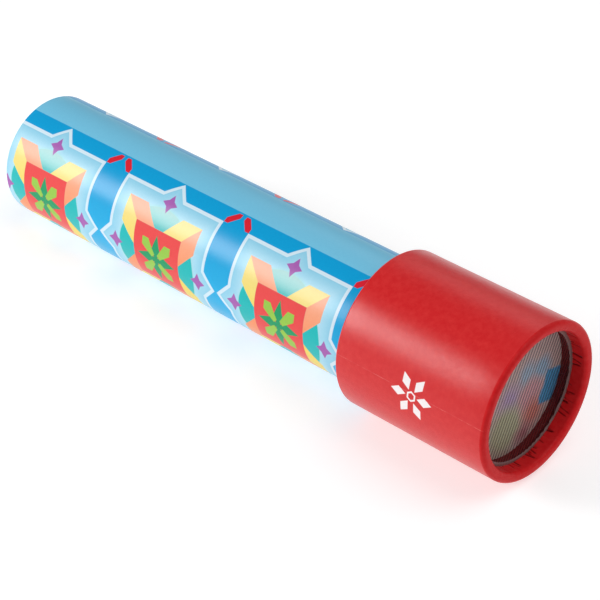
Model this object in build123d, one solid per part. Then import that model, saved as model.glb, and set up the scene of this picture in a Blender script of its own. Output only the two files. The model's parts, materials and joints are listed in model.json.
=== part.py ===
from build123d import *
import math
import os

# Kaleidoscope with a turning cap. Millimetres.
# The origin is the centre of the eye end. +X runs along the axis to the lens, +Z is up.

# ---- Driving dimensions ----
exposed_length = 172.9      # printed tube from the eye end to the mouth of the cap
cap_length = 62.5           # mouth of the cap to the face of its rim
tube_radius = 23.15         # outside of the bare board tube
tube_wall = 1.8
print_thickness = 0.3       # laminated printed paper round the tube
print_tuck = 4.0            # how far the printed paper runs on under the cap

label_thickness = 0.2
eye_disc_thickness = 2.0
eye_hole_radius = 6.0
eye_window_thickness = 1.0
eye_spacer_length = 5.0
eye_spacer_wall = 2.0

mirror_thickness = 1.2
mirror_gap = 0.1            # between the edge of a strip and the corner of the triangle
jacket_thickness = 0.5
jacket_corner_gap = 0.6     # between the corners of the jacket and the bore of the tube
holder_thickness = 2.0

window_thickness = 1.2      # the barrel's front window and the chamber's rear window
window_ring_length = 4.0
window_ring_wall = 1.5

collar_height = 2.85        # collars on the tube, beyond its bare outside
stop_collar_length = 6.0
guide_collar_length = 6.0
guide_collar_setback = 1.0  # from the front end of the tube

cap_wall = 2.0              # board of the cap sleeve
cap_paper = 0.2             # red paper round the cap
mouth_lip = 1.2             # depth of the paper turned in at the mouth
rear_ring_length = 10.0
mouth_round = 0.6           # rounding of the sleeve's edge at the mouth, under the paper
rim_width = 3.8             # face of the rim, paper included
rim_outer_round = 1.3       # rounding of the sleeve's edge at the rim, under the paper
rim_inner_round = 1.2       # rounding of the rim ring's inner edge, under the paper

recess_depth = 5.75         # from the face of the rim down to the lens
lens_thickness = 1.5
ridge_pitch = 1.52
ridge_height = 0.35
ridge_angle = 63.0          # direction of the ridges, from +Y towards +Z
lens_border = 3.0           # smooth border outside the ridges, partly under the rim ring
screen_gap = 2.8            # between the lens and the frosted screen
screen_thickness = 0.6
chamber_depth = 10.8
chamber_wall = 1.9
seat_ring_length = 3.0

chip_thickness = 1.0
chip_spacing = 0.5          # along the axis, between one layer of chips and the next

# ---- Clearances of the turning fit ----
turning_gap = 0.3           # radial, between the cap's bore and the two collars
mouth_gap = 0.9             # radial, between the printed paper and the rear ring
end_gap = 0.3               # axial, between the stop collar and the rear ring
front_gap = 0.55            # axial, between the tube's front end and the chamber seat
chip_gap = 0.4              # between the loose pieces and the chamber

# ---- Radii worked out from them ----
tube_bore = tube_radius - tube_wall
print_radius = tube_radius + print_thickness
collar_radius = tube_radius + collar_height
cap_bore = collar_radius + turning_gap
sleeve_radius = cap_bore + cap_wall
cap_radius = sleeve_radius + cap_paper
rim_bore = cap_radius - rim_width
rim_ring_bore = rim_bore + cap_paper
chamber_radius = cap_bore - chamber_wall
ridged_radius = cap_bore - lens_border

# ---- Stations along the axis, from the front backwards and from the eye end forwards ----
cap_mouth = exposed_length
cap_front = cap_mouth + cap_length
lens_front = cap_front - recess_depth
lens_rear = lens_front - lens_thickness
screen_front = lens_rear - screen_gap
chamber_front = screen_front - screen_thickness
chamber_rear = chamber_front - chamber_depth
seat_front = chamber_rear - window_thickness
seat_rear = seat_front - seat_ring_length
tube_front = seat_rear - front_gap
barrel_window_front = tube_front - window_ring_length
mirrors_front = barrel_window_front - window_thickness

eye_window_rear = label_thickness + eye_disc_thickness
eye_spacer_rear = eye_window_rear + eye_window_thickness
mirrors_rear = eye_spacer_rear + eye_spacer_length

rear_ring_rear = cap_mouth + mouth_lip
rear_ring_front = rear_ring_rear + rear_ring_length
stop_collar_rear = rear_ring_front + end_gap
guide_collar_front = tube_front - guide_collar_setback

# ---- Mirror triangle, as large as the bore of the tube lets the jacket be ----
# An equilateral triangle's sides lie half as far from its centre as its corners do.
jacket_outside = (tube_bore - jacket_corner_gap) / 2
mirror_outside = jacket_outside - jacket_thickness
mirror_face = mirror_outside - mirror_thickness
mirror_width = 2 * math.sqrt(3) * mirror_face - 2 * mirror_gap

# ---- Loose pieces ----
# Each one: corners (0 for a round one), reach from its centre, inset from the chamber's
# wall to its nearest point, angle of its place from +Y towards +Z, its own turn, its layer.
# Layer 0 lies against the rear window and layer 6 behind the screen. Angles are in degrees.
CHIPS = {
    "blue_chips": [
        (4, 6.4, 0.4, -26.0, 24.0, 6),
        (6, 5.4, 1.0, 96.0, 10.0, 2),
        (3, 6.5, 0.4, 232.0, 50.0, 0),
    ],
    "pink_chips": [
        (5, 7.6, 0.8, -36.0, 15.0, 4),
        (0, 5.2, 0.4, 246.0, 0.0, 1),
    ],
    "green_chips": [
        (6, 7.6, 2.2, 258.0, 20.0, 6),
        (3, 6.6, 1.2, 150.0, 70.0, 3),
        (4, 5.4, 0.6, 320.0, 12.0, 0),
    ],
    "red_chips": [
        (0, 7.4, 0.8, 260.2, 0.0, 3),
        (4, 7.0, 0.5, 238.0, 40.0, 2),
        (3, 6.2, 0.6, 192.0, 20.0, 1),
    ],
    "orange_chips": [
        (6, 4.0, 0.5, 296.0, 5.0, 5),
        (5, 5.6, 0.6, 35.0, 40.0, 1),
    ],
    "clear_chips": [
        (5, 8.4, 4.5, 29.0, 0.0, 5),
        (6, 6.5, 6.0, 205.0, 0.0, 4),
    ],
    "purple_beads": [
        (0, 3.2, 0.4, 240.0, 0.0, 5),
        (0, 3.0, 0.4, 205.0, 0.0, 5),
        (0, 3.2, 0.4, 100.0, 0.0, 5),
        (0, 3.0, 0.4, 268.0, 0.0, 0),
    ],
}


def disc(start, end, radius):
    """Solid disc about the axis, between two stations."""
    return Pos(start, 0, 0) * Rot(0, 90, 0) * Cylinder(
        radius, end - start, align=(Align.CENTER, Align.CENTER, Align.MIN))


def ring(start, end, bore, radius):
    """Plain ring about the axis, between two stations."""
    return disc(start, end, radius) - disc(start, end, bore)


def turned(corners, rounded):
    """Section of (station, radius) corners turned about the axis.

    rounded gives the radius of each corner that is rounded, by its number.
    """
    section = make_face(Polyline(*corners, close=True))
    for number, radius in rounded.items():
        place = Vector(*corners[number], 0)
        corner = section.vertices().sort_by_distance(place)[0]
        section = fillet(corner, radius)
    return revolve(Plane.XZ * section, axis=Axis.X)


def prism(start, end, inside_radius):
    """Triangular prism along the axis, one flat side down; inside_radius is to its sides."""
    triangle = RegularPolygon(2 * inside_radius, 3, rotation=90)
    return extrude(cross_section(start) * triangle, end - start)


def cross_section(station):
    """Plane across the axis at a station, with its x along +Y and its y along +Z."""
    return Plane(origin=(station, 0, 0), x_dir=(0, 1, 0), z_dir=(1, 0, 0))


# ---- Barrel ----
def barrel_tube():
    return ring(label_thickness, tube_front, tube_bore, tube_radius)


def printed_wrap():
    return ring(0, cap_mouth + print_tuck, tube_radius, print_radius)


def eye_end_disc():
    return ring(label_thickness, eye_window_rear, eye_hole_radius, tube_bore)


def eye_end_label():
    return ring(0, label_thickness, eye_hole_radius, tube_radius)


def eye_window():
    return disc(eye_window_rear, eye_spacer_rear, tube_bore)


def eye_spacer_ring():
    return ring(eye_spacer_rear, mirrors_rear, tube_bore - eye_spacer_wall, tube_bore)


def mirror_holder(start):
    end = start + holder_thickness
    return disc(start, end, tube_bore) - prism(start, end, jacket_outside)


def mirror_strip(turn):
    """One strip, laid under the axis with its mirror face up, then turned about the axis."""
    length = mirrors_front - mirrors_rear
    strip = Box(length, mirror_width, mirror_thickness, align=(Align.MIN, Align.CENTER, Align.MAX))
    return Rot(turn, 0, 0) * Pos(mirrors_rear, 0, -mirror_face) * strip


def mirror_jacket():
    outside = prism(mirrors_rear, mirrors_front, jacket_outside)
    return outside - prism(mirrors_rear, mirrors_front, mirror_outside)


def barrel_window():
    return disc(mirrors_front, barrel_window_front, tube_bore)


def window_ring():
    return ring(barrel_window_front, tube_front, tube_bore - window_ring_wall, tube_bore)


def tube_collar(start, length):
    return ring(start, start + length, tube_radius, collar_radius)


# ---- Turning cap ----
def cap_sleeve():
    rear = cap_mouth + cap_paper
    front = cap_front - cap_paper
    corners = [(rear, cap_bore), (rear, sleeve_radius), (front, sleeve_radius), (front, cap_bore)]
    return turned(corners, {1: mouth_round, 2: sleeve_round()})


def sleeve_round():
    """Rounding of the sleeve at the rim, kept inside its wall."""
    return min(rim_outer_round, 0.9 * cap_wall)


def ring_round():
    """Rounding of the rim ring's inner edge, kept inside its wall."""
    return min(rim_inner_round, 0.9 * (cap_bore - rim_ring_bore))


def rim_ring():
    front = cap_front - cap_paper
    bore = rim_ring_bore
    corners = [(lens_front, bore), (lens_front, cap_bore), (front, cap_bore), (front, bore)]
    return turned(corners, {3: ring_round()})


def cap_wrap():
    """Paper round the sleeve, turned in at the mouth and down inside the rim."""
    lip_end = cap_mouth + mouth_lip
    lip_radius = cap_bore - cap_paper
    rear = cap_mouth + cap_paper
    front = cap_front - cap_paper
    corners = [
        (lip_end, lip_radius), (cap_mouth, lip_radius), (cap_mouth, cap_radius),
        (cap_front, cap_radius), (cap_front, rim_bore), (lens_front, rim_bore),
        (lens_front, rim_ring_bore), (front, rim_ring_bore), (front, sleeve_radius),
        (rear, sleeve_radius), (rear, cap_bore), (lip_end, cap_bore),
    ]
    return turned(corners, {
        2: mouth_round + cap_paper, 9: mouth_round,
        3: sleeve_round() + cap_paper, 8: sleeve_round(),
        4: ring_round() + cap_paper, 7: ring_round(),
    })


def rear_ring():
    return ring(rear_ring_rear, rear_ring_front, print_radius + mouth_gap, cap_bore)


def prism_lens():
    """Clear disc whose front carries parallel ridges inside a smooth border."""
    valley = lens_front - ridge_height
    base = disc(lens_rear, valley, cap_bore)
    border = ring(valley, lens_front, ridged_radius, cap_bore)
    count = 2 * math.ceil(ridged_radius / ridge_pitch)
    low = -count / 2 * ridge_pitch
    outline = [(low, 0)]
    for number in range(count):
        foot = low + number * ridge_pitch
        outline.append((foot + ridge_pitch / 2, ridge_height))
        outline.append((foot + ridge_pitch, 0))
    along = Vector(0, math.cos(math.radians(ridge_angle)), math.sin(math.radians(ridge_angle)))
    start = Vector(valley, 0, 0) - along * cap_radius
    across = along.cross(Vector(1, 0, 0))
    ridges = extrude(
        Plane(origin=start, x_dir=across, z_dir=along) * make_face(Polyline(*outline, close=True)),
        2 * cap_radius)
    return base + border + (ridges & disc(valley, lens_front, ridged_radius))


def lens_spacer_ring():
    return ring(screen_front, lens_rear, chamber_radius, cap_bore)


def chamber_screen():
    return disc(chamber_front, screen_front, cap_bore)


def chamber_ring():
    return ring(chamber_rear, chamber_front, chamber_radius, cap_bore)


def chamber_window():
    return disc(seat_front, chamber_rear, cap_bore)


def chamber_seat_ring():
    return ring(seat_rear, seat_front, tube_bore, cap_bore)


# ---- Loose pieces ----
def chip(corners, reach, inset, angle, turn, layer):
    outline = RegularPolygon(reach, corners, rotation=turn) if corners else Circle(reach)
    distance = chamber_radius - inset - reach
    place = math.radians(angle)
    station = chamber_rear + chip_gap + layer * (chip_thickness + chip_spacing)
    centre = Pos(distance * math.cos(place), distance * math.sin(place), 0)
    return extrude(cross_section(station) * centre * outline, chip_thickness)


pieces = {
    "barrel_tube": barrel_tube(),
    "printed_wrap": printed_wrap(),
    "eye_end_disc": eye_end_disc(),
    "eye_end_label": eye_end_label(),
    "eye_window": eye_window(),
    "eye_spacer_ring": eye_spacer_ring(),
    "mirror_holder_rear": mirror_holder(mirrors_rear),
    "mirror_holder_front": mirror_holder(mirrors_front - holder_thickness),
    "mirror_bottom": mirror_strip(0),
    "mirror_left": mirror_strip(120),
    "mirror_right": mirror_strip(240),
    "mirror_jacket": mirror_jacket(),
    "barrel_window": barrel_window(),
    "window_ring": window_ring(),
    "stop_collar": tube_collar(stop_collar_rear, stop_collar_length),
    "guide_collar": tube_collar(guide_collar_front - guide_collar_length, guide_collar_length),
    "cap_sleeve": cap_sleeve(),
    "cap_wrap": cap_wrap(),
    "rim_ring": rim_ring(),
    "rear_ring": rear_ring(),
    "prism_lens": prism_lens(),
    "lens_spacer_ring": lens_spacer_ring(),
    "chamber_screen": chamber_screen(),
    "chamber_ring": chamber_ring(),
    "chamber_window": chamber_window(),
    "chamber_seat_ring": chamber_seat_ring(),
}
for colour, chips in CHIPS.items():
    pieces[colour] = Compound([chip(*details).solid() for details in chips])

os.makedirs("parts", exist_ok=True)
for name, piece in pieces.items():
    piece.label = name
    export_step(piece, f"parts/{name}.step")
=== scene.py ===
"""Looks of a kaleidoscope with a turning cap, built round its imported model.

The toy lies along +X, from the eye end at the origin to the ridged lens. The barrel is a board
tube in a printed paper sheet, the cap a wider board sleeve in red paper, and three mirrors and a
chamber of loose coloured chips are inside. Lengths are metres unless a name says otherwise.
"""

import json
import logging
import math
from dataclasses import dataclass, field
from enum import Enum

import bmesh
import bpy
import numpy as np
from mathutils import Matrix, Vector

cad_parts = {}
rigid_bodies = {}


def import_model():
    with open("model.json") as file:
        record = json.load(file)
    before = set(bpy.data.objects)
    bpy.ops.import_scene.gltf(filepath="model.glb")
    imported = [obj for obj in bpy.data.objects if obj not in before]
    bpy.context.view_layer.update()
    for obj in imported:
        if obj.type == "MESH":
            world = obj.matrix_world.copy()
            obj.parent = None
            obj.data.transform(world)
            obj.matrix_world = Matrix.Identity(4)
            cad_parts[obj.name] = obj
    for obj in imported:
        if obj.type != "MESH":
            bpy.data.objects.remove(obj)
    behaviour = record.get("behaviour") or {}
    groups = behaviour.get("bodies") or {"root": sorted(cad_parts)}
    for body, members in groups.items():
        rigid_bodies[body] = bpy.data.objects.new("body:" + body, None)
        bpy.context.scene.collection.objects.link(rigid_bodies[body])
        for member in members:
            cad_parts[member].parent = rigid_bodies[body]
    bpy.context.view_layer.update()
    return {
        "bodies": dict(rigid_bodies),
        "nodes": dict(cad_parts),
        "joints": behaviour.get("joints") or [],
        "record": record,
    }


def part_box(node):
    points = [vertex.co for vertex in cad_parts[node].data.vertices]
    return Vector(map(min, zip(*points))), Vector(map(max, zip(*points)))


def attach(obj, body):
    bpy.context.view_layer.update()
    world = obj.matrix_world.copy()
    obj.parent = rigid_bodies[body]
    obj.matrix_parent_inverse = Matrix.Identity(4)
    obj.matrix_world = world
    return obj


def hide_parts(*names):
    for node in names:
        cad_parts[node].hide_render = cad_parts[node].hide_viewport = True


LOG = logging.getLogger("kaleidoscope")
MM = 0.001
PER_METRE = 1000.0                     # millimetres in a metre, for shader numbers
TURN = 2 * math.pi
DIAGONAL = math.sqrt(0.5)              # cosine of 45 degrees
SHEET_MAP = "sheet"
NEAR = 0.001 * MM                      # places closer than this count as one
LONGEST_SPAN = 8 * MM                  # of a profile's straight sides


def ink(red: int, green: int, blue: int) -> tuple[float, float, float, float]:
    """Linear colour of a printed ink given by its 8-bit display values.

    Args:
        red, green, blue: display values from 0 to 255.

    Returns:
        The linear red, green, blue and an alpha of 1.
    """
    display = np.array([red, green, blue]) / 255
    linear = np.where(display <= 0.04045, display / 12.92, ((display + 0.055) / 1.055) ** 2.4)
    return (*linear.tolist(), 1.0)


# ---------------------------------------------------------------- node trees


class Wire:
    """A number in a material's node tree. Arithmetic on it adds Math nodes."""

    def __init__(self, tree: bpy.types.NodeTree, socket: bpy.types.NodeSocket) -> None:
        """Keeps the tree and the socket that the number comes out of."""
        self.tree = tree
        self.socket = socket

    def math(self, operation: str, *others: "Wire | float", clamp: bool = False) -> "Wire":
        """Adds one Math node.

        Args:
            operation: the node's operation.
            others: the operands after this one.
            clamp: keep the result between 0 and 1.

        Returns:
            The node's result.
        """
        node = self.tree.nodes.new("ShaderNodeMath")
        node.operation = operation
        node.use_clamp = clamp
        for entry, value in zip(node.inputs, (self, *others)):
            if isinstance(value, Wire):
                self.tree.links.new(value.socket, entry)
            else:
                entry.default_value = value
        return Wire(self.tree, node.outputs[0])

    def __add__(self, other: "Wire | float") -> "Wire":
        """Sum."""
        return self.math("ADD", other)

    def __sub__(self, other: "Wire | float") -> "Wire":
        """Difference."""
        return self.math("SUBTRACT", other)

    def __mul__(self, other: "Wire | float") -> "Wire":
        """Product."""
        return self.math("MULTIPLY", other)

    def __truediv__(self, other: "Wire | float") -> "Wire":
        """Quotient."""
        return self.math("DIVIDE", other)

    def __neg__(self) -> "Wire":
        """The number with its sign changed."""
        return self.math("MULTIPLY", -1.0)

    def __abs__(self) -> "Wire":
        """The number without its sign."""
        return self.math("ABSOLUTE")

    def least(self, other: "Wire | float") -> "Wire":
        """The smaller of the two: two shapes joined, where the numbers are distances."""
        return self.math("MINIMUM", other)

    def most(self, other: "Wire | float") -> "Wire":
        """The larger of the two: what two shapes share, where the numbers are distances."""
        return self.math("MAXIMUM", other)

    def inside(self, softness: float) -> "Wire":
        """Mask that is 1 where this distance is below 0, with an edge of the given softness."""
        return (self / -softness).math("ADD", 0.5, clamp=True)

    def ramp(self, start: float, end: float) -> "Wire":
        """Mask that grows from 0 where this number is at the start to 1 at the end."""
        slope = 1 / (end - start)
        return (self * slope).math("ADD", -start * slope, clamp=True)


def length(first: Wire, second: Wire) -> Wire:
    """Length of a flat vector, from its two numbers."""
    return (first * first + second * second).math("SQRT")


class Paint:
    """A colour in a material's node tree, painted over layer by layer."""

    def __init__(self, tree: bpy.types.NodeTree, colour: tuple[float, ...]) -> None:
        """Starts from one plain colour."""
        self.tree = tree
        self.colour: tuple[float, ...] | bpy.types.NodeSocket = colour

    def over(self, mask: Wire, colour: "tuple[float, ...] | Paint", blend: str = "MIX") -> "Paint":
        """Lays a colour over this one where the mask is 1.

        Args:
            mask: how much of the new colour shows, from 0 to 1.
            colour: the new colour.
            blend: how the two colours mix.

        Returns:
            The painted colour.
        """
        node = self.tree.nodes.new("ShaderNodeMix")
        node.data_type = "RGBA"
        node.blend_type = blend
        node.clamp_factor = True
        factor, below, above = node.inputs[0], node.inputs[6], node.inputs[7]
        self.tree.links.new(mask.socket, factor)
        new = colour.colour if isinstance(colour, Paint) else colour
        for entry, value in ((below, self.colour), (above, new)):
            if isinstance(value, bpy.types.NodeSocket):
                self.tree.links.new(value, entry)
            else:
                entry.default_value = value
        painted = Paint(self.tree, (0, 0, 0, 1))
        painted.colour = node.outputs[2]
        return painted


class Dress:
    """A new material with one Principled shader, and the nodes that feed it."""

    def __init__(self, name: str, **constants: "float | tuple[float, ...]") -> None:
        """Makes the material and sets the shader's constant inputs.

        Args:
            name: the material's name.
            constants: inputs of the shader by name, with _ for a space.
        """
        self.material = bpy.data.materials.new(name)
        self.material.use_nodes = True
        self.tree = self.material.node_tree
        self.shader = self.tree.nodes["Principled BSDF"]
        for key, value in constants.items():
            self.shader.inputs[key.replace("_", " ")].default_value = value

    def place(self) -> "tuple[Wire, Wire, Wire]":
        """Object coordinates of the surface point, in metres."""
        node = self.tree.nodes.new("ShaderNodeTexCoord")
        return self.split(node.outputs["Object"])

    def sheet(self) -> "tuple[Wire, Wire]":
        """Millimetres along and round the flat sheet, from the piece's own UV map."""
        node = self.tree.nodes.new("ShaderNodeUVMap")
        node.uv_map = SHEET_MAP
        return self.split(node.outputs["UV"])[:2]

    def split(self, vector: bpy.types.NodeSocket) -> "tuple[Wire, Wire, Wire]":
        """The three numbers of a vector."""
        node = self.tree.nodes.new("ShaderNodeSeparateXYZ")
        self.tree.links.new(vector, node.inputs[0])
        return tuple(Wire(self.tree, out) for out in node.outputs)

    def join(self, x: Wire, y: Wire, z: "Wire | float" = 0.0) -> bpy.types.NodeSocket:
        """A vector of three numbers."""
        node = self.tree.nodes.new("ShaderNodeCombineXYZ")
        for entry, value in zip(node.inputs, (x, y, z)):
            if isinstance(value, Wire):
                self.tree.links.new(value.socket, entry)
            else:
                entry.default_value = value
        return node.outputs[0]

    def attribute(self, name: str) -> Wire:
        """A number stored on the piece's points."""
        node = self.tree.nodes.new("ShaderNodeAttribute")
        node.attribute_name = name
        return Wire(self.tree, node.outputs["Fac"])

    def noise(self, vector: bpy.types.NodeSocket, scale: float, detail: float = 2.0,
              roughness: float = 0.5) -> Wire:
        """Cloudy noise from 0 to 1.

        Args:
            vector: where it is read.
            scale: lumps per unit of the vector.
            detail: how many finer layers it has.
            roughness: the strength of the finer layers.

        Returns:
            The noise.
        """
        node = self.tree.nodes.new("ShaderNodeTexNoise")
        self.tree.links.new(vector, node.inputs["Vector"])
        node.inputs["Scale"].default_value = scale
        node.inputs["Detail"].default_value = detail
        node.inputs["Roughness"].default_value = roughness
        return Wire(self.tree, node.outputs[0])

    def bump(self, height: Wire, distance: float, strength: float = 1.0) -> None:
        """Relief on the shader's normal.

        Args:
            height: the relief, from 0 to 1.
            distance: its depth in metres.
            strength: how much of it shows.
        """
        node = self.tree.nodes.new("ShaderNodeBump")
        node.inputs["Distance"].default_value = distance
        node.inputs["Strength"].default_value = strength
        self.tree.links.new(height.socket, node.inputs["Height"])
        self.tree.links.new(node.outputs[0], self.shader.inputs["Normal"])

    def coat_with(self, paint: Paint) -> None:
        """Sends a painted colour to the shader."""
        self.tree.links.new(paint.colour, self.shader.inputs["Base Color"])

    def rough(self, amount: Wire) -> None:
        """Sends a roughness to the shader."""
        self.tree.links.new(amount.socket, self.shader.inputs["Roughness"])


# ---------------------------------------------------------------- surfaces


class Closed(Enum):
    """Which ways a surface's grid joins up with itself."""

    NEITHER = (False, False)
    ROWS = (True, False)
    BOTH = (True, True)


def surface(name: str, points: np.ndarray, closed: Closed, flat: np.ndarray | None = None,
            numbers: dict[str, np.ndarray] | None = None) -> bpy.types.Object:
    """A piece whose shape is a function of two parameters, worked out on a grid.

    Face (i, j) joins points (i, j), (i, j+1), (i+1, j+1) and (i+1, j), so it faces the way of
    the column direction crossed with the row direction.

    Args:
        name: the piece's name.
        points: rows x columns x 3 places in metres.
        closed: which ways the grid joins up.
        flat: rows+1 x columns+1 x 2 coordinates of the grid's corners on the flat sheet.
        numbers: values stored on the points, rows x columns, by name.

    Returns:
        The new object, at the origin.
    """
    rows, columns = points.shape[:2]
    wrap_rows, wrap_columns = closed.value
    i = np.arange(rows if wrap_rows else rows - 1)[:, None]
    j = np.arange(columns if wrap_columns else columns - 1)[None, :]
    below, beside = (i + 1) % rows, (j + 1) % columns
    faces = np.stack([i * columns + j, i * columns + beside, below * columns + beside,
                      below * columns + j], axis=-1).reshape(-1, 4)
    mesh = bpy.data.meshes.new(name)
    mesh.from_pydata(points.reshape(-1, 3), [], faces)
    mesh.polygons.foreach_set("use_smooth", np.ones(len(faces), dtype=bool))
    if flat is not None:
        corners = np.stack([flat[i, j], flat[i, j + 1], flat[i + 1, j + 1], flat[i + 1, j]],
                           axis=2)
        layer = mesh.uv_layers.new(name=SHEET_MAP)
        layer.uv.foreach_set("vector", corners.reshape(-1).astype(np.float32))
    for label, values in (numbers or {}).items():
        stored = mesh.attributes.new(label, "FLOAT", "POINT")
        stored.data.foreach_set("value", values.reshape(-1).astype(np.float32))
    mesh.update()
    piece = bpy.data.objects.new(name, mesh)
    bpy.context.scene.collection.objects.link(piece)
    return piece


def merged(piece: bpy.types.Object) -> bpy.types.Object:
    """Joins points of a piece that share one place, so that its poles and seams close."""
    shape = bmesh.new()
    shape.from_mesh(piece.data)
    bmesh.ops.remove_doubles(shape, verts=shape.verts, dist=NEAR)
    shape.to_mesh(piece.data)
    shape.free()
    return piece


def rounded(corners: list[tuple[float, float, float]], steps: int = 6) -> np.ndarray:
    """Closed outline whose corners are replaced by arcs.

    Each corner is (station, radius, rounding). Its arc touches the two sides at
    rounding / tan(half the inner angle) from the corner.

    Args:
        corners: the outline's corners in order.
        steps: points on each arc, less one.

    Returns:
        Points x 2 places on the outline.
    """
    spots = np.array([corner[:2] for corner in corners])
    outline = []
    for number, (x, r, rounding) in enumerate(corners):
        here = np.array([x, r])
        if rounding == 0:
            outline.append(here[None])
            continue
        back = spots[number - 1] - here
        ahead = spots[(number + 1) % len(spots)] - here
        back /= np.linalg.norm(back)
        ahead /= np.linalg.norm(ahead)
        half = math.acos(np.clip(back @ ahead, -1, 1)) / 2
        middle = (back + ahead) / np.linalg.norm(back + ahead)
        centre = here + middle * rounding / math.sin(half)
        first = here + back * rounding / math.tan(half) - centre
        last = here + ahead * rounding / math.tan(half) - centre
        share = np.linspace(0, 1, steps + 1)[:, None]
        swing = math.pi - 2 * half
        arc = (np.sin((1 - share) * swing) * first + np.sin(share * swing) * last) / math.sin(swing)
        outline.append(centre + arc)
    return np.concatenate(outline)


def with_spans(outline: np.ndarray, longest: float) -> np.ndarray:
    """The closed outline with its long sides cut into equal spans.

    Args:
        outline: points x 2 places.
        longest: the longest span left.

    Returns:
        The outline with the points added.
    """
    pieces = []
    for start, end in zip(outline, np.roll(outline, -1, axis=0)):
        count = max(1, math.ceil(np.linalg.norm(end - start) / longest))
        pieces.append(start + (end - start) * np.arange(count)[:, None] / count)
    return np.concatenate(pieces)


def about_axis(station: np.ndarray, radius: np.ndarray, angle: np.ndarray) -> np.ndarray:
    """Places at a station and a radius, turned about +X from +Z towards -Y by an angle."""
    return np.stack([station, -radius * np.sin(angle), radius * np.cos(angle)], axis=-1)


def smooth_random(count: int, lumps: int, seed: int) -> np.ndarray:
    """Smooth random curve round a circle, between about -1 and 1.

    The curve is a sum of the first sine and cosine waves round the circle, each of random
    height and weaker the finer it is.

    Args:
        count: points round the circle.
        lumps: how many waves the finest part has.
        seed: the seed of the random draw.

    Returns:
        One value for each point.
    """
    draw = np.random.default_rng(seed)
    angle = TURN * np.arange(count) / count
    order = np.arange(1, lumps + 1)[:, None]
    heights = draw.normal(size=(2, lumps, 1)) / np.sqrt(order)
    curve = (heights[0] * np.sin(order * angle) + heights[1] * np.cos(order * angle)).sum(0)
    return curve / np.abs(curve).max()


def finished(piece: bpy.types.Object, material: bpy.types.Material, body: str, slot: str,
             *nodes: str) -> bpy.types.Object:
    """Gives a new piece its material and its body, and hides the nodes it stands for."""
    piece.data.materials.append(material)
    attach(piece, body)
    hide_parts(*nodes)
    LOG.info("%s: %d faces, rides on %s, stands for %s", piece.name, len(piece.data.polygons),
             body, ", ".join(nodes))
    return piece


def redress(node: bpy.types.Object, material: bpy.types.Material) -> None:
    """Gives a CAD node a better material."""
    node.data.materials.clear()
    node.data.materials.append(material)
    LOG.info("%s: dressed as %s", node.name, material.name)


# ---------------------------------------------------------------- finishes


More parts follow.
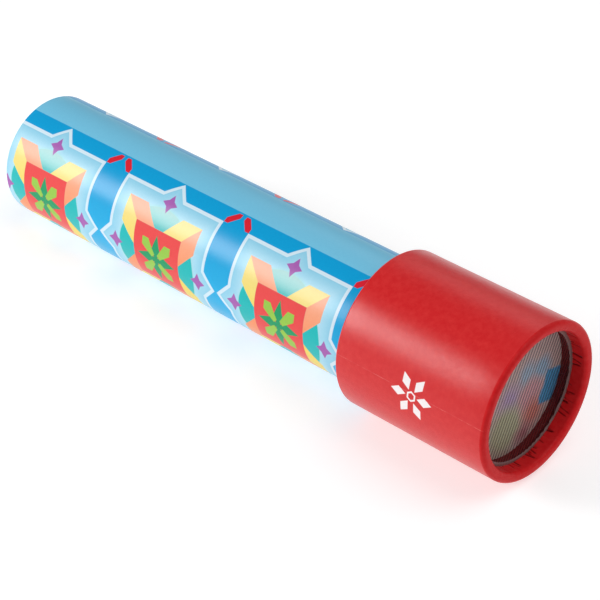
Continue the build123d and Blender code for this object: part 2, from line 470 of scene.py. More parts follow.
@dataclass(frozen=True)
class TilePrint:
    """Laminated paper printed with rows of star-pointed tiles. Lengths are millimetres.

    A tile is drawn about its own centre, across it and up it. Most shapes are the same on all
    four sides, so they are drawn once on |across| and |up|: reach is the larger of the two and
    aside the smaller.
    """

    pitch: float = 60.3                # between tile centres along the tube
    first_centre: float = 21.65        # from the eye end
    band: float = 16.2                 # plain band between the two rows of tiles
    stretch: float = 1.045             # tiles are this much taller round the tube than long
    field_half: float = 29.95          # deep blue behind the tiles
    frame_half: float = 23.55
    point_height: float = 5.2
    frame_line: float = 1.25
    disc_radius: float = 18.9
    disc_halo: float = 1.0
    square_half: float = 11.35
    arm_top: float = 18.3
    arm_foot: float = 2.15             # arm's inner corner from the tile's middle line
    arm_lean: float = 0.971
    star_reach: float = 9.4
    star_shoulder: float = 3.9
    star_half_width: float = 2.05
    star_spread: float = 0.375         # width of a star's arm for each millimetre of reach
    petal_spread: float = 0.19
    middle_half: float = 0.6           # half-width of star and petals at the middle
    petal_reach: float = 7.0
    petal_start: float = 1.85
    spark_centre: float = 21.05
    spark_reach: float = 3.55
    spark_waist: float = 1.25
    spark_slope: float = 0.9
    leaf_centre: float = 37.8          # along the tile's diagonal
    leaf_half: float = 3.5
    leaf_width: float = 2.4
    edge: float = 0.14                 # softness of a printed edge
    field_fade: tuple = (18.0, -2.0)   # up the tile, from where its light ink starts to full
    panel_fade: tuple = (-0.5, -5.5)   # in from the panel's edge
    disc_sheen_fade: tuple = (10.0, 32.2)    # up the tile, from where the disc's painted sheen starts to full white
    # painted sheen on the arms, growing up the tile from its middle line
    arm_sheen_fade: tuple = (0.0, 91.0)
    band_ink: tuple = ink(112, 190, 222)
    field_ink: tuple = ink(0, 152, 208)
    field_light_ink: tuple = ink(0, 168, 222)
    line_ink: tuple = ink(205, 226, 238)
    panel_ink: tuple = ink(136, 200, 226)
    panel_light_ink: tuple = ink(166, 214, 233)
    disc_ink: tuple = ink(0, 178, 178)
    halo_ink: tuple = ink(150, 214, 208)
    coral_ink: tuple = ink(240, 140, 88)
    yellow_ink: tuple = ink(234, 208, 88)
    square_ink: tuple = ink(226, 66, 66)
    star_ink: tuple = ink(0, 146, 92)
    petal_ink: tuple = ink(143, 192, 66)
    spark_ink: tuple = ink(160, 88, 168)
    leaf_ink: tuple = ink(212, 28, 46)
    # white of the painted sheen on the disc and the arms
    white: tuple = ink(252, 250, 246)

    def material(self) -> bpy.types.Material:
        """The print as a material on the sheet's UV map.

        Returns:
            The material.
        """
        dress = Dress("tile_print", IOR=1.45, Specular_IOR_Level=0.3)
        along, around = dress.sheet()
        row_centre = self.band / 2 + self.field_half * self.stretch
        across = (along - self.first_centre).math("WRAP", self.pitch / 2, -self.pitch / 2)
        up = (abs(around) * -1.0 + row_centre) / self.stretch
        paint = self.draw(dress, across, up)
        grain = dress.noise(dress.join(along, around), 0.9, 4.0, 0.6)
        paint = paint.over((grain - 0.5) * 0.22 + 0.06, (1.0, 1.0, 1.0, 1.0), "SOFT_LIGHT")
        dress.coat_with(paint)
        fibre = dress.noise(dress.join(along, around * 0.7), 2.2, 5.0, 0.65)
        dress.rough(fibre * 0.12 + 0.26)
        dress.bump(fibre, 0.00003, 0.5)
        return dress.material

    def draw(self, dress: Dress, across: Wire, up: Wire) -> Paint:
        """Paints one tile and what surrounds it.

        Args:
            dress: the material being made.
            across: place across the tile from its centre.
            up: place up the tile from its centre, towards the plain band.

        Returns:
            The painted colour.
        """
        wide, tall = abs(across), abs(up)
        reach, aside = wide.most(tall), wide.least(tall)
        diagonal = (wide + tall) * DIAGONAL
        off_diagonal = abs(wide - tall) * DIAGONAL
        upright = (tall - wide).math("GREATER_THAN", 0.0)
        side = upright * (across * up.math("SIGN"))
        side = side - (upright * -1.0 + 1.0) * (up * across.math("SIGN"))

        point = (reach + aside - (self.frame_half + self.point_height)) * DIAGONAL
        frame = (reach - self.frame_half).least(point)
        centre = length(across, up)
        arm = (reach - self.arm_top).most(reach * -1.0 + self.square_half)
        lean = (reach - self.square_half) * self.arm_lean + self.arm_foot - aside
        arm = arm.most(lean * math.cos(math.atan(self.arm_lean)))

        taper = self.star_half_width / (self.star_reach - self.star_shoulder)
        star = (aside + reach * taper - self.star_reach * taper) * math.cos(math.atan(taper))
        star = star.most(aside - reach * self.star_spread - self.middle_half)
        petal = (reach - self.petal_reach).most(diagonal * -1.0 + self.petal_start)
        petal = petal.most(off_diagonal - diagonal * self.petal_spread - self.middle_half)
        spark_up = abs(reach - self.spark_centre)
        spark = spark_up.least(aside) * (self.spark_reach - self.spark_waist)
        spark = (spark + spark_up.most(aside) * self.spark_waist) / self.spark_reach
        spark = (spark - self.spark_waist) * self.spark_slope
        leaf = (abs(diagonal - self.leaf_centre) + off_diagonal - self.leaf_half) * DIAGONAL
        leaf = leaf.most(off_diagonal - self.leaf_width / 2)

        def mask(distance: Wire) -> Wire:
            """Printed shape from its distance."""
            return distance.inside(self.edge)

        paint = Paint(dress.tree, self.band_ink)
        field = Paint(dress.tree, self.field_ink)
        field = field.over(up.ramp(*self.field_fade), self.field_light_ink)
        paint = paint.over(mask(tall - self.field_half), field)
        paint = paint.over(mask(leaf), self.leaf_ink)
        panel = Paint(dress.tree, self.panel_ink)
        panel = panel.over(frame.ramp(*self.panel_fade), self.panel_light_ink)
        paint = paint.over(mask(frame), panel)
        paint = paint.over(mask(abs(frame) - self.frame_line / 2), self.line_ink)
        paint = paint.over((centre - self.disc_radius).inside(2 * self.disc_halo), self.halo_ink)
        disc = Paint(dress.tree, self.disc_ink)
        # painted sheen: the disc turns whiter towards its top
        disc = disc.over(up.ramp(*self.disc_sheen_fade), self.white)
        paint = paint.over(mask(centre - self.disc_radius), disc)
        arms = Paint(dress.tree, self.coral_ink)
        arms = arms.over(side.math("GREATER_THAN", 0.0), self.yellow_ink)
        # painted sheen: the arms turn a little whiter towards the top
        arms = arms.over(up.ramp(*self.arm_sheen_fade), self.white)
        paint = paint.over(mask(arm), arms)
        paint = paint.over(mask(reach - self.square_half), self.square_ink)
        paint = paint.over(mask(star), self.star_ink)
        paint = paint.over(mask(petal), self.petal_ink)
        return paint.over(mask(spark), self.spark_ink)


@dataclass(frozen=True)
class RedPaper:
    """Red paper with a fine fibre texture, painted shade in its creases and one small white printed
    rosette.

    Lengths are millimetres, along the toy from the eye end and round the cap from its top.
    """

    name: str = "red_paper"
    shine: float = 0.4                 # the shader's specular level
    colour: tuple = ink(206, 28, 32)
    pale: tuple = ink(219, 54, 52)
    deep: tuple = ink(158, 14, 20)
    # painted shade in the creases of the gathered paper
    crease: tuple = ink(52, 5, 8)
    white: tuple = ink(244, 236, 236)
    edge: tuple = ink(236, 128, 120)
    crease_shade_strength: float = 0.95
    seam_around: float = 39.9
    seam_width: float = 0.14
    rosette_station: float = 205.6
    rosette_around: float = 41.0
    rosette_radius: float = 8.4
    petals: int = 6
    rhomb_half: float = 0.36           # half-length, as a share of the rosette's radius
    rhomb_aspect: float = 0.568        # half-width over half-length
    hexagon_radius: float = 0.17       # as a share of the rosette's radius
    hexagon_line: float = 0.6

    def material(self) -> bpy.types.Material:
        """The paper as a material on the sheet's UV map.

        Returns:
            The material.
        """
        dress = Dress(self.name, IOR=1.45, Specular_IOR_Level=self.shine)
        along, around = dress.sheet()
        spot = dress.join(along, around)
        mottle = dress.noise(spot, 0.45, 5.0, 0.62)
        fibre = dress.noise(dress.join(along * 0.55, around), 2.6, 4.0, 0.7)
        paint = Paint(dress.tree, self.colour)
        paint = paint.over(mottle.ramp(0.3875, 1.0125), self.pale)
        paint = paint.over(fibre.ramp(0.42, -0.0345), self.deep)
        # painted shade along the creases, where the gathered paper folds in
        paint = paint.over(dress.attribute("crease") * self.crease_shade_strength, self.crease)
        broken = dress.noise(dress.join(along * 0.4, around), 0.5, 3.0, 0.7)
        seam = (abs(around - self.seam_around) - self.seam_width / 2).inside(0.12)
        paint = paint.over(seam * broken.ramp(0.47, 0.672), self.edge)
        paint = paint.over(self.rosette(along, around), self.white)
        dress.coat_with(paint)
        dress.rough(fibre * 0.14 + 0.23)
        dress.bump(fibre * 0.8 + mottle * 0.4, 0.0001, 0.65)
        return dress.material

    def rosette(self, along: Wire, around: Wire) -> Wire:
        """White rhombs set in a ring round a small hexagon, as a kaleidoscope shows them.

        The angle about the rosette's centre is wrapped into one petal's share, and a rhomb is
        the points whose distances along and across the petal add up to less than a set sum.

        Args:
            along: millimetres along the toy.
            around: millimetres round the cap.

        Returns:
            The rosette's mask.
        """
        x, y = along - self.rosette_station, around - self.rosette_around
        radius = length(x, y)
        share = math.pi / self.petals
        angle = y.math("ARCTAN2", x).math("WRAP", share, -share)
        outward = radius * angle.math("COSINE")
        sideways = abs(radius * angle.math("SINE"))
        half = self.rosette_radius * self.rhomb_half
        rhomb = abs(outward - (self.rosette_radius - half)) + sideways / self.rhomb_aspect - half
        hexagon = abs(outward - self.rosette_radius * self.hexagon_radius)
        return (rhomb / 2).least(hexagon - self.hexagon_line / 2).inside(0.12)


@dataclass(frozen=True)
class Board:
    """Rough board wound in layers about the axis."""

    name: str
    colour: tuple
    dark: tuple
    layer: float = 0.45 * MM

    def material(self) -> bpy.types.Material:
        """The board on Object coordinates: its cut ends show the wound layers.

        Returns:
            The material.
        """
        dress = Dress(self.name, Roughness=0.86)
        x, y, z = dress.place()
        spot = dress.join(x, y, z)
        fleck = dress.noise(spot, 900.0, 4.0, 0.7)
        cloud = dress.noise(spot, 120.0, 3.0)
        uneven = (cloud - 0.5) * (0.04 * MM)
        layers = ((length(y, z) + uneven) * (TURN / self.layer)).math("SINE")
        paint = Paint(dress.tree, self.colour)
        paint = paint.over(fleck.ramp(0.4, 1.067), self.dark)
        paint = paint.over(layers * 0.22 + 0.12, self.dark)
        dress.coat_with(paint)
        dress.bump(fleck * 0.7 + layers * 0.3, 0.00008, 0.7)
        return dress.material


@dataclass(frozen=True)
class EyeLabel:
    """Round blue paper label with pale lines about the eye hole. Lengths are millimetres."""

    colour: tuple = ink(0, 150, 205)
    light: tuple = ink(30, 164, 214)
    pale: tuple = ink(190, 224, 240)
    points: int = 12
    star_radius: float = 11.0
    star_depth: float = 2.2
    star_line: float = 0.9
    rim_radius: float = 20.6
    rim_line: float = 1.0
    hole_radius: float = 7.6
    hole_line: float = 0.7

    def material(self) -> bpy.types.Material:
        """The label on Object coordinates: a star, and a ring on either side of it.

        Returns:
            The material.
        """
        dress = Dress("eye_label_paper", Roughness=0.5)
        x, y, z = dress.place()
        y, z = y * PER_METRE, z * PER_METRE
        radius = length(y, z)
        share = math.pi / self.points
        angle = abs(y.math("ARCTAN2", z).math("WRAP", share, -share)) / share
        star = abs(radius - self.star_radius - angle * self.star_depth) - self.star_line / 2
        rim = abs(radius - self.rim_radius) - self.rim_line / 2
        hole = abs(radius - self.hole_radius) - self.hole_line / 2
        fibre = dress.noise(dress.join(y, z), 2.4, 4.0, 0.65)
        paint = Paint(dress.tree, self.colour)
        paint = paint.over(fibre.ramp(0.4, 1.65), self.light)
        paint = paint.over(star.least(rim).least(hole).inside(0.15), self.pale)
        dress.coat_with(paint)
        dress.bump(fibre, 0.00004, 0.5)
        return dress.material


@dataclass(frozen=True)
class ClearPlastic:
    """Clear sheet plastic with fine scuffs."""

    name: str
    colour: tuple
    alpha: float
    scuffed: tuple = ink(240, 242, 246)
    roughness: float = 0.12

    def material(self) -> bpy.types.Material:
        """The plastic, part clear.

        Returns:
            The material.
        """
        dress = Dress(self.name, Alpha=self.alpha, IOR=1.5)
        spot = dress.join(*dress.place())
        scuff = dress.noise(spot, 420.0, 5.0, 0.7)
        paint = Paint(dress.tree, self.colour)
        paint = paint.over(scuff.ramp(0.55, 1.217), self.scuffed)
        dress.coat_with(paint)
        dress.rough(scuff * 0.2 + self.roughness)
        return dress.material


@dataclass(frozen=True)
class Ridges:
    """Parallel ridges across the lens. Lengths are millimetres."""

    pitch: float = 1.52
    height: float = 0.35
    angle: float = math.radians(63)    # of the ridges, from +Y towards +Z
    border: float = 3.0                # smooth ring outside them


@dataclass(frozen=True)
class LensPlastic:
    """Lens with painted shade over its front, left clear along one line of each ridge: the dark
    stands in for the dim chamber seen through the ridges. Lengths are millimetres.
    """

    ridges: Ridges
    front: float                       # station of the ridges' crests
    ridged_radius: float
    front_depth: float = 0.5           # how far behind the crests the front face goes
    line_centre: float = 0.18          # share of a pitch from the valley
    line_width: float = 0.34           # share of a pitch
    cover: float = 0.6                  # how much the front's painted shade hides, and the border's own colour
    clearness: float = 0.58            # how much less a line hides
    shade: tuple = ink(18, 9, 11)
    border: tuple = ink(158, 130, 128)

    def material(self) -> bpy.types.Material:
        """The lens on Object coordinates, with the clear lines in step with its ridges.

        The place across the ridges is wrapped into one pitch, and a line is where it is near
        the line's centre. Off the lines the front is painted dark, a painted shade for the dim
        chamber seen through the ridges. The border is veiled in its own paler colour.

        Returns:
            The material.
        """
        dress = Dress("lens_plastic", IOR=1.49, Specular_IOR_Level=0.1)
        x, y, z = dress.place()
        scuff = dress.noise(dress.join(x, y, z), 500.0, 4.0, 0.7)
        x, y, z = x * PER_METRE, y * PER_METRE, z * PER_METRE
        pitch = self.ridges.pitch
        across = y * math.sin(self.ridges.angle) - z * math.cos(self.ridges.angle)
        beside = (across - self.line_centre * pitch).math("WRAP", pitch / 2, -pitch / 2)
        front = (-x + (self.front - self.front_depth)).inside(0.05)
        line = (abs(beside) - self.line_width * pitch / 2).inside(0.25) * front
        smooth = (-length(y, z) + self.ridged_radius).inside(0.1) * front
        # painted shade over the ridged front, and the border in its own paler colour
        dress.coat_with(Paint(dress.tree, self.shade).over(smooth, self.border))
        dress.rough(line * 0.25 + scuff * 0.12 + 0.08)
        hidden = front * self.cover - line * self.clearness + scuff * 0.03
        dress.tree.links.new(hidden.most(smooth * self.cover).socket, dress.shader.inputs["Alpha"])
        return dress.material


@dataclass(frozen=True)
class Glow:
    """Soft round patch of coloured light on the screen. Lengths are millimetres."""

    y: float
    z: float
    reach: float
    soft: float
    colour: tuple


@dataclass(frozen=True)
class FrostedScreen:
    """Thin frosted plastic in front of the chips, with their blurred colours on it.

    Lengths are millimetres.
    """

    colour: tuple = ink(244, 216, 212)
    alpha: float = 0.94
    glows: tuple = (
        Glow(6.4, 3.2, 4.0, 4.0, ink(204, 224, 246)),
        Glow(14.2, 1.6, 4.0, 4.0, ink(190, 220, 246)),
        Glow(-2.4, -2.3, 4.5, 6.0, ink(226, 198, 236)),
        Glow(-4.4, -14.0, 8.5, 6.0, ink(220, 220, 184)),
        Glow(8.6, -6.6, 6.0, 4.5, ink(250, 192, 200)),
        Glow(9.8, -14.0, 5.0, 5.0, ink(250, 160, 148)),
        Glow(5.0, -20.0, 3.6, 5.0, ink(210, 142, 148)),
    )
    chip_y: float = 18.8
    chip_z: float = -8.0
    chip_half_length: float = 6.4
    chip_half_width: float = 4.2
    chip_turn: float = math.radians(72)
    chip: tuple = ink(100, 184, 236)
    blur: float = 3.0                  # how far clouds shift the patches

    def material(self) -> bpy.types.Material:
        """The screen on Object coordinates.

        Each glow fades with the distance from its middle. One blue chip lies against the
        screen, so its outline is sharp: a box in coordinates turned with it.

        Returns:
            The material.
        """
        dress = Dress("frosted_screen", IOR=1.4, Specular_IOR_Level=0.3, Alpha=self.alpha)
        x, y, z = dress.place()
        cloud = dress.noise(dress.join(x, y, z), 260.0, 4.0)
        shift = (cloud - 0.5) * self.blur
        y, z = y * PER_METRE + shift, z * PER_METRE - shift
        paint = Paint(dress.tree, self.colour)
        for glow in self.glows:
            away = length(y - glow.y, z - glow.z)
            paint = paint.over((away - glow.reach).inside(glow.soft), glow.colour)
        aside, above = y - self.chip_y, z - self.chip_z
        cosine, sine = math.cos(self.chip_turn), math.sin(self.chip_turn)
        along = abs(aside * cosine + above * sine) - self.chip_half_length
        across = abs(above * cosine - aside * sine) - self.chip_half_width
        paint = paint.over(along.most(across).inside(1.0), self.chip)
        dress.coat_with(paint)
        dress.rough(cloud * 0.3 + 0.4)
        return dress.material


@dataclass(frozen=True)
class TintedPlastic:
    """Translucent coloured plastic of the loose chips."""

    name: str
    colour: tuple
    light: tuple
    alpha: float = 0.88

    def material(self) -> bpy.types.Material:
        """The plastic, with cloudy streaks from moulding.

        Returns:
            The material.
        """
        dress = Dress(self.name, Roughness=0.25, IOR=1.5, Alpha=self.alpha)
        swirl = dress.noise(dress.join(*dress.place()), 160.0, 3.0)
        paint = Paint(dress.tree, self.colour)
        paint = paint.over(swirl.ramp(0.4, 1.025), self.light)
        dress.coat_with(paint)
        return dress.material


@dataclass(frozen=True)
class MirrorStrip:
    """Front-silvered strip with faint dust."""

    silver: tuple = (0.9, 0.92, 0.93, 1.0)

    def material(self) -> bpy.types.Material:
        """The mirror.

        Returns:
            The material.
        """
        dress = Dress("mirror_strip", Metallic=1.0, Base_Color=self.silver)
        dust = dress.noise(dress.join(*dress.place()), 700.0, 4.0, 0.7)
        dress.rough(dust * 0.06 + 0.02)
        return dress.material


@dataclass(frozen=True)
class BlackCard:
    """Matte black card of the mirrors' sleeve."""

    colour: tuple = ink(26, 25, 26)
    light: tuple = ink(52, 50, 50)

    def material(self) -> bpy.types.Material:
        """The card.

        Returns:
            The material.
        """
        dress = Dress("black_card", Roughness=0.9)
        fibre = dress.noise(dress.join(*dress.place()), 1100.0, 4.0, 0.7)
        paint = Paint(dress.tree, self.colour)
        paint = paint.over(fibre.ramp(0.45, 1.117), self.light)
        dress.coat_with(paint)
        dress.bump(fibre, 0.00005, 0.6)
        return dress.material


# ---------------------------------------------------------------- sub-assemblies


@dataclass
class Barrel:
    """The tube that is held still: printed sheet, eye end, mirrors and front window."""

    body: str = "barrel"
    columns: int = 360
    edge_round: float = 0.25 * MM
    sheet_turn: float = math.radians(-3.35)     # of the sheet's middle line from the top
    overlap_step: float = 0.12 * MM
    overlap_ramp: float = 7.0 * MM
    print_finish: TilePrint = field(default_factory=TilePrint)
    board: Board = Board("grey_board", ink(158, 142, 118), ink(104, 90, 72))

    def build(self, nodes: dict[str, bpy.types.Object]) -> None:
        """Makes the printed sheet and dresses the rest.

        Args:
            nodes: the CAD nodes by name.
        """
        sheet = self.printed_sheet()
        finished(sheet, self.print_finish.material(), self.body, "printed_paper", "printed_wrap")
        board = self.board.material()
        for name in ("barrel_tube", "eye_end_disc", "eye_spacer_ring", "mirror_holder_rear",
                     "mirror_holder_front", "window_ring", "stop_collar", "guide_collar"):
            redress(nodes[name], board)
        redress(nodes["eye_end_label"], EyeLabel().material())
        clear = ClearPlastic("window_plastic", ink(176, 170, 176), 0.4).material()
        for name in ("eye_window", "barrel_window"):
            redress(nodes[name], clear)
        mirror = MirrorStrip().material()
        for name in ("mirror_bottom", "mirror_left", "mirror_right"):
            redress(nodes[name], mirror)
        redress(nodes["mirror_jacket"], BlackCard().material())

    def printed_sheet(self) -> bpy.types.Object:
        """Paper rolled round the tube, one edge glued over the other underneath.

        The radius is constant but for a ramp before the overlap, where the sheet climbs by its
        own step onto the layer under it. The profile is a thin closed rectangle with rounded
        outer corners, carried round the axis.

        Returns:
            The sheet.
        """
        low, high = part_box("printed_wrap")
        outer = high.z
        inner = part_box("barrel_tube")[1].z
        profile = with_spans(rounded([
            (low.x, inner, 0), (low.x, outer, self.edge_round), (high.x, outer, 0),
            (high.x, inner, 0),
        ]), LONGEST_SPAN)
        around = (np.arange(self.columns + 1) / self.columns - 0.5) * TURN * outer
        angle = around / outer + self.sheet_turn
        climb = np.clip((around + math.pi * outer) / self.overlap_ramp, 0, 1)
        drop = self.overlap_step * (1 - climb)
        station = np.repeat(profile[:, :1], self.columns, axis=1)
        radius = profile[:, 1:] - drop[None, :-1] * (profile[:, 1:] > inner + NEAR)
        points = about_axis(station, radius, np.repeat(angle[None, :-1], len(profile), axis=0))
        flat = np.empty((len(profile) + 1, self.columns + 1, 2))
        flat[..., 0] = np.append(profile[:, 0], profile[0, 0])[:, None] / MM
        flat[..., 1] = around[None] / MM
        return surface("tile_print_sheet", points, Closed.BOTH, flat)


@dataclass(frozen=True)
class CapMeasures:
    """Stations and radii that the cap's paper follows, in metres."""

    mouth: float
    lip: float                         # where the paper ends inside the mouth
    rim: float
    lens: float
    outer: float
    inner: float                       # of the paper, so the sleeve's outside
    mouth_bore: float
    rim_bore: float

    @classmethod
    def from_frame(cls, rim_width: float) -> "CapMeasures":
        """Reads the measures from the CAD pieces.

        Args:
            rim_width: width of the rim's face.

        Returns:
            The measures.
        """
        low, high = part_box("cap_wrap")
        ring_low, ring_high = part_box("rear_ring")
        return cls(mouth=low.x, lip=ring_low.x, rim=high.x, lens=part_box("prism_lens")[1].x,
                   outer=high.z, inner=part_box("cap_sleeve")[1].z, mouth_bore=ring_high.z,
                   rim_bore=high.z - rim_width)


@dataclass
class TurningCap:
    """The red cap: paper over a board sleeve, and the chamber behind the ridged lens."""

    body: str = "turning_cap"
    columns: int = 1200
    paper: float = 0.2 * MM            # its thickness
    rim_width: float = 3.8 * MM
    lip_round: float = 0.15 * MM
    mouth_round: float = 0.8 * MM
    rim_outer_round: float = 1.5 * MM
    rim_inner_round: float = 1.4 * MM
    recess_rows: int = 16
    fold_height: float = 0.2 * MM
    crease_depth: float = 0.25 * MM
    wrinkle_depth: float = 0.18 * MM
    creases: int = 120
    seam_angle: float = math.radians(80)
    seam_ramp: float = 0.3             # radians
    seam_step: float = 0.1 * MM
    wobble: float = 0.02 * MM          # unevenness of the cap's side
    ridges: Ridges = Ridges()
    lens_step: float = 0.02 * MM       # from the border's face down to the crests
    lens_slope: float = 0.6 * MM       # width over which the border rises to its face
    lens_bevel: float = 0.3 * MM
    lens_chords: int = 640
    lens_rows: int = 24
    lens_back_rows: int = 8
    side_paper: RedPaper = RedPaper()
    gathered_paper: RedPaper = RedPaper("gathered_red_paper", 0.06, ink(204, 30, 34),
                                        ink(214, 50, 50))
    board: Board = Board("sleeve_board", ink(140, 14, 20), ink(84, 8, 12))
    chamber_plastic: ClearPlastic = ClearPlastic("chamber_plastic", ink(190, 180, 186), 0.45)

    def build(self, nodes: dict[str, bpy.types.Object]) -> None:
        """Makes the paper and the lens, and dresses the rest.

        Args:
            nodes: the CAD nodes by name.
        """
        paper = self.cap_paper()
        finished(paper, self.side_paper.material(), self.body, "red_paper", "cap_wrap")
        paper.data.materials.append(self.gathered_paper.material())
        lens_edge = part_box("prism_lens")[1] / MM
        lens = LensPlastic(self.ridges, lens_edge.x, lens_edge.z - self.ridges.border)
        finished(self.ridged_lens(), lens.material(), self.body, "lens_plastic", "prism_lens")
        board = self.board.material()
        for name in ("cap_sleeve", "rim_ring", "rear_ring", "lens_spacer_ring", "chamber_seat_ring"):
            redress(nodes[name], board)
        redress(nodes["chamber_screen"], FrostedScreen().material())
        clear = self.chamber_plastic.material()
        for name in ("chamber_ring", "chamber_window"):
            redress(nodes[name], clear)

    def cap_paper(self) -> bpy.types.Object:
        """Paper glued round the sleeve and folded over the rim.

        The profile is carried round the axis. From the middle of the rim's face down to the
        lens the paper is gathered: swells and creases change its radius, and fine radial
        wrinkles sink it a little. On the cap's side it climbs a step to its overlap and is a
        little uneven.

        Returns:
            The paper, with its second material on the rim and in the recess.
        """
        at = CapMeasures.from_frame(self.rim_width)
        profile = self.paper_profile(at)
        station, radius = profile[:, :1], profile[:, 1:]
        angle = TURN * np.arange(self.columns) / self.columns
        depth = self.down_the_rim(at, station, radius)
        fold, crease = self.gathered(angle[None], depth)
        wrinkle = smooth_random(self.columns, 260, 12)[None] * np.clip(depth / 0.2, 0, 1)
        uneven = self.wobble * smooth_random(self.columns, 9, 4)
        on_side = (radius > at.outer - 0.1 * MM) & (station > at.mouth + 1 * MM)
        on_side &= station < at.rim - 2 * MM
        turned = (angle - self.seam_angle + math.pi) % TURN - math.pi
        seam = self.seam_step * np.clip(1 + turned / self.seam_ramp, 0, 1) * (turned < 0)
        in_recess = radius < at.rim_bore + self.paper
        spread = radius - fold * self.fold_height + crease * self.crease_depth * in_recess
        spread += on_side * (seam + uneven)
        sunk = station - self.wrinkle_depth * (wrinkle + 1) / 2 * (depth > 0)
        points = about_axis(sunk, spread, np.repeat(angle[None], len(profile), axis=0))
        along = np.append(station[:, 0], station[0, 0]) / MM
        drop = np.append(radius[:, 0], radius[0, 0]) / MM
        flat = np.empty((len(profile) + 1, self.columns + 1, 2))
        flat[..., 0] = (along - (drop - at.outer / MM))[:, None]
        flat[..., 1] = (np.append(angle, TURN) * at.outer / MM)[None]
        # the crease numbers go on the points for the paper's painted shade in the creases
        piece = surface("red_cap_paper", points, Closed.BOTH, flat, {"crease": crease})
        following = np.roll(station[:, 0], -1)
        on_rim = np.minimum(station[:, 0], following) > at.rim - self.rim_outer_round - NEAR
        on_rim |= (radius[:, 0] < at.inner) & (station[:, 0] > at.lens - NEAR)
        kinds = np.repeat(on_rim.astype(np.int32), self.columns)
        piece.data.polygons.foreach_set("material_index", kinds)
        return piece

    def paper_profile(self, at: CapMeasures) -> np.ndarray:
        """Closed outline of the thin paper.

        It goes from inside the mouth along the cap's side, over the rim and down to the lens,
        and comes back one thickness deeper.

        Args:
            at: the cap's measures.

        Returns:
            Station and radius of each point.
        """
        paper = self.paper
        wall = np.linspace(at.rim - self.rim_inner_round, at.lens, self.recess_rows)[1:]
        return with_spans(rounded([
            (at.lip, at.mouth_bore - paper, 0), (at.mouth, at.mouth_bore - paper, self.lip_round),
            (at.mouth, at.outer, self.mouth_round), (at.rim, at.outer, self.rim_outer_round),
            (at.rim, at.rim_bore, self.rim_inner_round), *((x, at.rim_bore, 0) for x in wall),
            (at.lens, at.rim_bore + paper, 0),
            (at.rim - paper, at.rim_bore + paper, self.rim_inner_round - paper),
            (at.rim - paper, at.inner, self.rim_outer_round - paper),
            (at.mouth + paper, at.inner, self.mouth_round - paper),
            (at.mouth + paper, at.mouth_bore, 0), (at.lip, at.mouth_bore, 0),
        ]), LONGEST_SPAN)

    def down_the_rim(self, at: CapMeasures, station: np.ndarray,
                     radius: np.ndarray) -> np.ndarray:
        """How far each row of the paper's outside is down the rim.

        The distance goes in from the middle of the rim's face and then down the recess. Rows
        of the paper's inside are told apart by their place behind the face, the bore and the
        round between the two.

        Args:
            at: the cap's measures.
            station, radius: the rows' places, rows x 1.

        Returns:
            The depth from 0 to 1 at the lens, and 0 on every other row, rows x 1.
        """
        middle = at.outer - self.rim_width / 2
        half = self.paper / 2
        from_round = np.hypot(station - at.rim + self.rim_inner_round,
                              radius - at.rim_bore - self.rim_inner_round)
        outside = (station > at.rim - half) | (radius < at.rim_bore + half)
        outside |= from_round > self.rim_inner_round - half
        outside &= (station > at.lens - NEAR) & (radius < middle)
        depth = (at.rim - station + middle - radius) * outside
        return depth / (at.rim - at.lens + self.rim_width / 2)

    def gathered(self, angle: np.ndarray, depth: np.ndarray) -> tuple[np.ndarray, np.ndarray]:
        """Swells and short creases of the paper that is gathered into the rim.

        Each crease has its own place, lean, bend, width, strength, and the depths where it
        starts and ends. Its number is a bell curve of the distance from its bent line, times a
        ramp at either end. The swells between them are smooth random waves round the rim.

        Args:
            angle: places round the rim, 1 x columns.
            depth: how far down the rim each row is, rows x 1, from 0 to 1.

        Returns:
            The height of the swells from 0 to 1, and a number that is near 1 along each crease.
        """
        draw = np.random.default_rng(7)
        size = (self.creases, 1, 1)
        place = draw.uniform(0, TURN, size)
        lean = draw.normal(0, 0.022, size)
        bend = draw.normal(0, 0.03, size)
        width = draw.uniform(0.005, 0.016, size)
        strength = draw.uniform(0.25, 1.0, size)
        start = 1 - draw.uniform(0.2, 0.72, size) ** 1.3
        end = 1.15 - 0.5 * (draw.uniform(0, 1, size) > 0.8)
        line = place + lean * depth + bend * depth ** 2
        away = (angle - line + math.pi) % TURN - math.pi
        ends = np.clip((depth - start) / 0.12, 0, 1) * np.clip((end - depth) / 0.12, 0, 1)
        width = width * (0.35 + 0.65 * ends)
        crease = (strength * ends * np.exp(-(away / width) ** 2)).max(axis=0)
        swell = smooth_random(angle.size, 60, 21)[None] * np.clip(depth / 0.3, 0, 1)
        return (swell + 1) / 2 * np.clip(depth / 0.1, 0, 1), crease

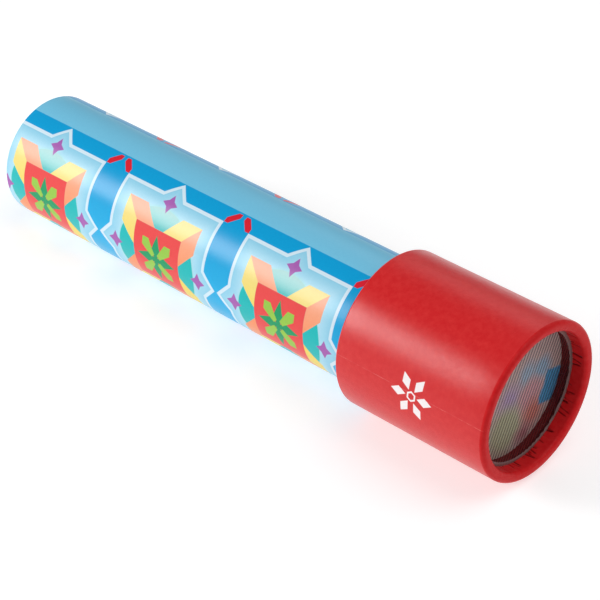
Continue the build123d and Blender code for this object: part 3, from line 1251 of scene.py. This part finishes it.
    def ridged_lens(self) -> bpy.types.Object:
        """Clear disc with parallel ridges inside a smooth border.

        Each column is a chord of the ridged circle, so across the columns the height is a
        triangle wave of the distance from the middle chord. The rows carry on past both ends
        of the chord over the border, down the edge and across the back.

        Returns:
            The lens.
        """
        low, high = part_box("prism_lens")
        front, radius = high.x, high.z
        ridged = radius - self.ridges.border * MM
        crest = front - self.lens_step
        across = ridged * np.sin(np.linspace(-math.pi / 2, math.pi / 2, self.lens_chords))
        phase = across / (self.ridges.pitch * MM)
        wave = 1 - 2 * np.abs(phase - np.floor(phase) - 0.5)
        ridge = crest - self.ridges.height * MM * (1 - wave)
        end = np.sqrt(np.maximum(ridged ** 2 - across ** 2, 0))
        rows = [(share * end, across, ridge) for share in np.linspace(-1, 1, self.lens_rows)]
        one = np.ones(self.lens_chords)
        border = [(ridged + self.lens_slope / 4, crest), (ridged + self.lens_slope, front),
                  (radius - self.lens_bevel, front), (radius, front - self.lens_bevel),
                  (radius, low.x)]
        far = [(end * r / ridged, across * r / ridged, x * one) for r, x in border]
        near = [(-t, n, x) for t, n, x in reversed(far)]
        back = [(share * end * radius / ridged, across * radius / ridged, low.x * one)
                for share in np.linspace(1, -1, self.lens_back_rows)[1:-1]]
        t, n, x = (np.stack([row[k] for row in near + rows + far + back]) for k in range(3))
        cosine, sine = math.cos(self.ridges.angle), math.sin(self.ridges.angle)
        points = np.stack([x, t * cosine + n * sine, t * sine - n * cosine], axis=-1)
        return merged(surface("ridged_lens", points[:, ::-1], Closed.ROWS))


@dataclass
class LooseChips:
    """The translucent chips and beads in the chamber."""

    body: str = "loose_pieces"

    def build(self, nodes: dict[str, bpy.types.Object]) -> None:
        """Dresses the chips, colour by colour.

        Args:
            nodes: the CAD nodes by name.
        """
        colours = {
            "blue_chips": (ink(0, 120, 210), ink(60, 160, 226)),
            "pink_chips": (ink(206, 96, 122), ink(224, 140, 156)),
            "green_chips": (ink(120, 152, 60), ink(160, 184, 104)),
            "red_chips": (ink(160, 34, 40), ink(196, 70, 66)),
            "orange_chips": (ink(236, 104, 56), ink(240, 146, 100)),
            "clear_chips": (ink(176, 206, 228), ink(206, 224, 238)),
            "purple_beads": (ink(112, 62, 150), ink(150, 106, 182)),
        }
        for name, (colour, light) in colours.items():
            redress(nodes[name], TintedPlastic(name + "_plastic", colour, light).material())


# ---------------------------------------------------------------- studio


@dataclass(frozen=True)
class SoftBox:
    """Rectangular soft light. Lengths are metres and the power is watts."""

    name: str
    place: tuple[float, float, float]
    width: float
    height: float
    power: float

    def build(self, aim: Vector) -> None:
        """Makes the light.

        Args:
            aim: the point that it faces.
        """
        data = bpy.data.lights.new(self.name, "AREA")
        data.shape = "RECTANGLE"
        data.size = self.width
        data.size_y = self.height
        data.energy = self.power
        lamp = bpy.data.objects.new(self.name, data)
        bpy.context.scene.collection.objects.link(lamp)
        toward = aim - Vector(self.place)
        lamp.matrix_world = (Matrix.Translation(self.place)
                             @ toward.to_track_quat("-Z", "Y").to_matrix().to_4x4())


@dataclass
class Studio:
    """Pale floor that the lying toy touches at two edges, soft lights and the camera."""

    floor_half: float = 3.0
    floor_grey: tuple = (0.6, 0.6, 0.6, 1.0)
    floor_glow: float = 0.55
    sky_colour: tuple = (0.97, 0.98, 1.0, 1.0)
    sky_strength: float = 0.22
    camera_place: Vector = field(default_factory=lambda: Vector((0.5408, -0.4217, 0.3998)))
    camera_aim: Vector = field(default_factory=lambda: Vector((0.1394, -0.0096, 0.0009)))
    lens_mm: float = 122.7
    light_aim: Vector = field(default_factory=lambda: Vector((0.12, 0.0, 0.0)))
    lights: tuple = (
        SoftBox("key", (-0.78, -0.95, 0.60), 0.6, 0.6, 15.0),
        SoftBox("top", (0.75, 0.25, 1.45), 1.2, 1.2, 9.5),
        SoftBox("back", (-0.25, 1.2, 0.9), 1.2, 0.6, 2.5),
        SoftBox("front", (1.3, 0.8, 1.0), 0.8, 0.8, 2.5),
    )

    def build(self) -> None:
        """Makes the floor, the camera, the sky and the lights."""
        bpy.context.scene.view_settings.view_transform = "Standard"
        self.camera(self.floor())
        self.sky()
        for light in self.lights:
            light.build(self.light_aim)

    def floor(self) -> Vector:
        """Plain floor through the tube's and the cap's lowest edges.

        The toy rests on the eye end's edge and on the cap's rear edge, so in its own frame the
        floor falls towards the lens by the difference of the two radii over their distance.

        Returns:
            The floor's normal.
        """
        tube_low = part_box("printed_wrap")[0]
        cap_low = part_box("cap_wrap")[0]
        fall = (tube_low.z - cap_low.z) / (cap_low.x - tube_low.x)
        half = self.floor_half
        x, y = np.meshgrid([-half, half], [-half, half], indexing="ij")
        z = tube_low.z - fall * (x - tube_low.x)
        floor = surface("studio_floor", np.stack([x, y, z], axis=-1)[:, ::-1], Closed.NEITHER)
        dress = Dress("floor_white", Roughness=0.7, Base_Color=self.floor_grey,
                      Specular_IOR_Level=0.2, Emission_Color=(1.0, 1.0, 1.0, 1.0),
                      Emission_Strength=self.floor_glow)
        floor.data.materials.append(dress.material)
        return Vector((fall, 0.0, 1.0)).normalized()

    def camera(self, up: Vector) -> None:
        """Camera that looks along its aim with the floor's normal upright in the picture.

        Args:
            up: the floor's normal.
        """
        data = bpy.data.cameras.new("camera")
        data.lens = self.lens_mm
        data.sensor_width = 36.0
        data.clip_start = 0.01
        camera = bpy.data.objects.new("camera", data)
        bpy.context.scene.collection.objects.link(camera)
        ahead = (self.camera_aim - self.camera_place).normalized()
        right = ahead.cross(up).normalized()
        turn = Matrix((right, right.cross(ahead), -ahead)).transposed().to_4x4()
        camera.matrix_world = Matrix.Translation(self.camera_place) @ turn
        bpy.context.scene.camera = camera

    def sky(self) -> None:
        """Even pale surroundings, dimmer than the lights."""
        world = bpy.data.worlds.new("surroundings")
        world.use_nodes = True
        background = world.node_tree.nodes["Background"]
        background.inputs["Color"].default_value = self.sky_colour
        background.inputs["Strength"].default_value = self.sky_strength
        bpy.context.scene.world = world


def main() -> None:
    """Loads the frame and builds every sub-assembly."""
    logging.basicConfig(level=logging.INFO, format="%(message)s")
    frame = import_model()
    Studio().build()
    for assembly in (Barrel(), TurningCap(), LooseChips()):
        assembly.build(frame["nodes"])


if __name__ == "__main__":
    main()
